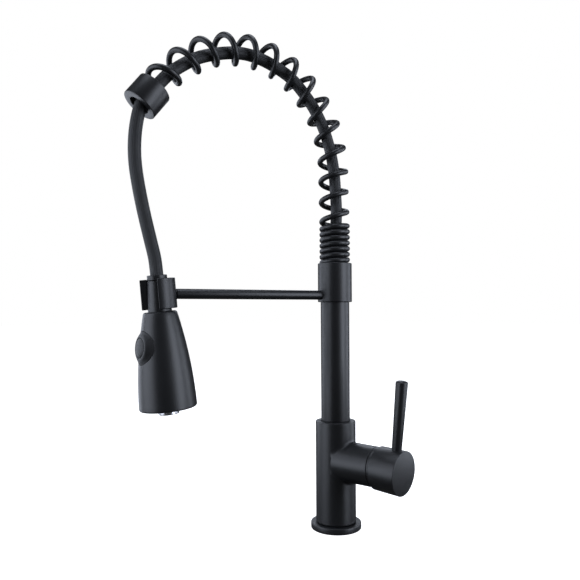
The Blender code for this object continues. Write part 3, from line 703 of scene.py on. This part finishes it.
def on_shell(place, across, down):
    """Height along the button's axis at which a point off that axis meets the shell's flare."""
    to_head = HEAD_AT.inverted() @ place
    low, high = -14.0, 8.0
    for _ in range(40):
        middle = (low + high) / 2
        point = (to_head @ (Vector((down, across, middle)) * MM)) / MM
        if math.hypot(point.x, point.y) < shell_radius(-point.z):
            low = middle
        else:
            high = middle
    return (low + high) / 2


def build_bezel(place, steps=144):
    """A rubber pad that leaves the shell's flare along its edge and rises to a flat rim round the button."""
    inner, flat, outer = BUTTON_R + 0.35, BUTTON_R + 1.5, BEZEL_R - 0.1
    slope = [(outer + (flat - outer) * k / 10, 0.0) for k in range(11)]
    profile = [(outer, -2.0), (outer, -0.3), (outer - 0.12, -0.05)] + slope[1:]
    profile += [(inner + 0.35, 0.0), (inner + 0.08, -0.12), (inner, -0.4), (inner, -3.0)]
    verts, faces = [], []
    for i in range(steps):
        angle = math.tau * i / steps
        for radius, sink in profile:
            down, across = radius * math.cos(angle), radius * math.sin(angle)
            share = min(1.0, max(0.0, (outer - radius) / (outer - flat)))
            share = share * share * (3.0 - 2.0 * share)
            surface = on_shell(place, across, down) + 0.35
            verts.append((down, across, surface + (PAD_RISE - surface) * share + sink))
    count = len(profile)
    for i in range(steps):
        j = (i + 1) % steps
        for k in range(count):
            m = (k + 1) % count
            faces.append((i * count + k, j * count + k, j * count + m, i * count + m))
    make_piece("button_bezel_fine", verts, faces, place, "black_rubber", "spray_head", ["button_bezel"])


def build_button(place):
    crown = [(7.4 * math.sin(a), 1.7 + 1.2 * math.cos(a)) for a in np.radians(np.linspace(0, 74, 9))]
    lathe("mode_button_fine", crown + [(BUTTON_R, 1.3), (BUTTON_R, -3.5), (6.0, -3.5), (6.0, 0.9), (2.4, 0.9),
                                       (2.4, -10.0), (0.0, -10.0)], place, "black_rubber", "button",
          ["mode_button"], steps=96, soft=0.6)


def build_button_spring(place, turns=4, per_turn=24):
    """Its inner end rests in the head; its outer end sits under the button."""
    low, high = -6.1, 0.2
    count = turns * per_turn
    line = []
    for i in range(count + 1):
        angle = math.tau * i / per_turn
        local = Vector((BUTTON_COIL_R * math.cos(angle), BUTTON_COIL_R * math.sin(angle),
                        low + (high - low) * i / count)) * MM
        line.append(tuple((place @ local) / MM))
    spring = sweep("button_spring_fine", line, [BUTTON_WIRE_R] * 12, "steel", "spray_head",
                   ["button_spring"])
    spring.parent = None
    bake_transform(spring)


def build_neck():
    lathe("hose_ferrule_fine", [(6.2, FERRULE_TOP), (8.8, FERRULE_TOP), (8.8, 27.6), (6.2, 27.6)], HEAD_AT,
          "matte_black", "hose_end", ["hose_ferrule"], ring=True, steps=96, soft=0.5)
    lathe("neck_sleeve_fine", [(7.3, NECK_TOP), (NECK_R_TOP, NECK_TOP), (NECK_R_FOOT, NECK_FOOT),
                               (NECK_R_FOOT, -0.3), (7.3, -0.3)], HEAD_AT, "matte_black", "spray_head",
          ["neck_sleeve"], ring=True, steps=96, soft=0.4)


def build_shell(button_at):
    drops = np.linspace(1.6, HEAD_LENGTH - 1.2, 26)
    inner = np.linspace(HEAD_LENGTH - 8.0, 4.5, 20)
    outline = ([(7.6, 0.0), (13.3, 0.0), (14.45, -0.55)] + flare(drops)
               + [(24.95, -HEAD_LENGTH + 0.45), (24.45, -HEAD_LENGTH), (23.3, -HEAD_LENGTH)]
               + flare(inner, inset=WALL) + [(7.6, -4.5)])
    shell = form("spray_shell_fine", outline, HEAD_AT, 160, ring=True, soft=0.5)
    hole = form("hole", cylinder(BEZEL_R + 0.2, -12.0, 8.0), button_at)
    shape_with(shell, [("DIFFERENCE", hole)])
    dress(shell, "black_plastic", "spray_head", ["spray_shell"])


def build_spray_face():
    verts, faces = lathe_mesh(soften([(9.6, -80.5), (22.7, -80.5), (22.7, -83.6), (9.6, -83.6)], 0.4, True),
                              True, ROUND)
    nib = soften([(0.35, -84.6), (0.35, -85.2), (0.75, -85.2), (1.25, -83.4), (0.35, -83.4)], 0.15, True, 2)
    for count, radius in ((12, 13.4), (20, 18.6)):
        for i in range(count):
            turn = math.tau * i / count
            more, sides = lathe_mesh(nib, True, 16)
            start = len(verts)
            across, along = radius * math.cos(turn), radius * math.sin(turn)
            verts = verts + [(x + across, y + along, z) for x, y, z in more]
            faces = faces + [tuple(start + v for v in face) for face in sides]
    make_piece("spray_face_fine", verts, faces, HEAD_AT, "black_rubber", "spray_head", ["spray_face"])


def build_aerator():
    lathe("aerator_housing_fine", [(7.4, -70.0), (9.2, -70.0), (9.2, -86.6), (8.95, -86.9), (9.2, -87.2),
                                   (9.2, -90.6), (7.4, -90.6)], HEAD_AT, "steel", "spray_head",
          ["aerator_housing"], ring=True, soft=0.45)
    insert = form("aerator_insert_fine", cylinder(7.1, -89.4, -76.0), HEAD_AT, ROUND, soft=0.3)
    holes = []
    for count, radius in ((1, 0.0), (6, 1.9), (12, 3.8), (18, 5.7)):
        for i in range(count):
            turn = math.tau * i / count
            offset = Vector((radius * math.cos(turn), radius * math.sin(turn), 0.0)) * MM
            hole_at = HEAD_AT @ Matrix.Translation(offset)
            holes.append(("DIFFERENCE", form("hole", cylinder(0.55, -90.5, -88.0), hole_at, 12)))
    shape_with(insert, holes)
    dress(insert, "black_plastic", "spray_head", ["aerator_insert"])


# ---------------------------------------------------------------- studio and camera

def softbox(name, position, size, power, colour=(0.93, 1.0, 1.15), aim=(0.0, -0.09, 0.22)):
    light = bpy.data.lights.new(name, "AREA")
    light.shape = "RECTANGLE"
    light.size, light.size_y = size
    light.energy = power
    light.color = colour
    made = bpy.data.objects.new(name, light)
    bpy.context.scene.collection.objects.link(made)
    made.location = position
    made.rotation_euler = (Vector(aim) - Vector(position)).to_track_quat("-Z", "Y").to_euler()
    return made


CAMERA_AT = Vector((0.5402, -0.3177, 0.2164))
CAMERA_LENS = 38.39
CAMERA_TURN = 153.69           # the way it looks, from +X towards +Y
CAMERA_PITCH = 1.86
CAMERA_ROLL = -0.18


def view_axes():
    turn, pitch, roll = (math.radians(v) for v in (CAMERA_TURN, CAMERA_PITCH, CAMERA_ROLL))
    ahead = Vector((math.cos(turn) * math.cos(pitch), math.sin(turn) * math.cos(pitch), math.sin(pitch)))
    right = Vector((math.sin(turn), -math.cos(turn), 0.0))
    up = right.cross(ahead)
    return ahead, right * math.cos(roll) + up * math.sin(roll), up * math.cos(roll) - right * math.sin(roll)


def build_camera():
    camera = bpy.data.objects.new("camera", bpy.data.cameras.new("camera"))
    bpy.context.scene.collection.objects.link(camera)
    ahead, right, up = view_axes()
    camera.matrix_world = Matrix((right, up, -ahead)).transposed().to_4x4()
    camera.location = CAMERA_AT
    camera.data.sensor_width = 36.0
    camera.data.lens = CAMERA_LENS
    camera.data.clip_start = 0.01
    camera.data.clip_end = 50.0
    bpy.context.scene.camera = camera
    bpy.context.scene.view_settings.view_transform = "Standard"


def build_floor():
    floor_mesh = bpy.data.meshes.new("floor")
    shape = bmesh.new()
    bmesh.ops.create_circle(shape, cap_ends=True, segments=96, radius=9.0)
    shape.to_mesh(floor_mesh)
    shape.free()
    floor = bpy.data.objects.new("floor", floor_mesh)
    bpy.context.scene.collection.objects.link(floor)
    floor.location.z = -0.0002
    made, nodes, links, shader, coords = new_material("floor")
    shade = noise(nodes, links, coords, 6.0, 4.0)
    links.new(tint(nodes, links, shade, (0.90, 0.90, 0.905), (0.92, 0.92, 0.925)),
              shader.inputs["Base Color"])
    shader.inputs["Roughness"].default_value = 0.85
    shader.inputs["Emission Color"].default_value = (1.0, 1.0, 1.0, 1.0)
    shader.inputs["Emission Strength"].default_value = 1.0
    floor.data.materials.append(made)
    floor.visible_glossy = False
    floor.visible_diffuse = False


def build_lights():
    ahead, right, _ = view_axes()
    towards = Vector((-ahead.x, -ahead.y, 0.0)).normalized()
    left = -Vector((right.x, right.y, 0.0)).normalized()
    centre = Vector((0.0, -0.09, 0.0))

    def around(turn, distance, height):
        """A point round the object, turned from the camera's side towards the picture's left."""
        a = math.radians(turn)
        return centre + (towards * math.cos(a) + left * math.sin(a)) * distance + Vector((0.0, 0.0, height))

    softbox("key_left", around(68.0, 1.0, 0.34), (0.95, 1.2), 9.0)
    softbox("rim_left", around(122.0, 0.75, 0.28), (0.5, 0.8), 2.4)
    softbox("fill_right", around(-64.0, 1.4, 0.36), (0.85, 1.4), 16.0)
    softbox("side_right", around(-108.0, 1.3, 0.30), (0.5, 1.0), 5.0)
    softbox("top", around(0.0, 0.05, 1.6), (1.0, 1.0), 9.0, aim=(0.0, -0.09, 0.0))
    back = softbox("back", around(180.0, 1.4, 0.85), (1.3, 0.5), 5.0)
    back.visible_camera = False


def build_world():
    """White behind the object for the camera, and a faint even light on it."""
    world = bpy.data.worlds.new("studio")
    world.use_nodes = True
    bpy.context.scene.world = world
    nodes, links = world.node_tree.nodes, world.node_tree.links
    backdrop = nodes["Background"]
    backdrop.inputs["Color"].default_value = (1.0, 1.0, 1.0, 1.0)
    backdrop.inputs["Strength"].default_value = 1.0
    ambient = nodes.new("ShaderNodeBackground")
    ambient.inputs["Color"].default_value = (0.96, 0.98, 1.0, 1.0)
    ambient.inputs["Strength"].default_value = 0.07
    seen = nodes.new("ShaderNodeLightPath")
    mix = nodes.new("ShaderNodeMixShader")
    links.new(seen.outputs["Is Camera Ray"], mix.inputs["Fac"])
    links.new(ambient.outputs["Background"], mix.inputs[1])
    links.new(backdrop.outputs["Background"], mix.inputs[2])
    links.new(mix.outputs["Shader"], nodes["World Output"].inputs["Surface"])


# ---------------------------------------------------------------- assembly

def main():
    build_camera()
    finish_cad_nodes()
    arch = arch_frames()
    build_hoses(arch)
    build_spring(arch)
    build_cap()
    build_base()
    build_body()
    build_column()
    build_dome()
    build_hub()
    build_lever()
    build_arm()
    build_holder()
    button_at = button_frame()
    build_bezel(button_at)
    build_button(button_at)
    build_button_spring(button_at)
    build_neck()
    build_shell(button_at)
    build_spray_face()
    build_aerator()
    build_floor()
    build_lights()
    build_world()


main()
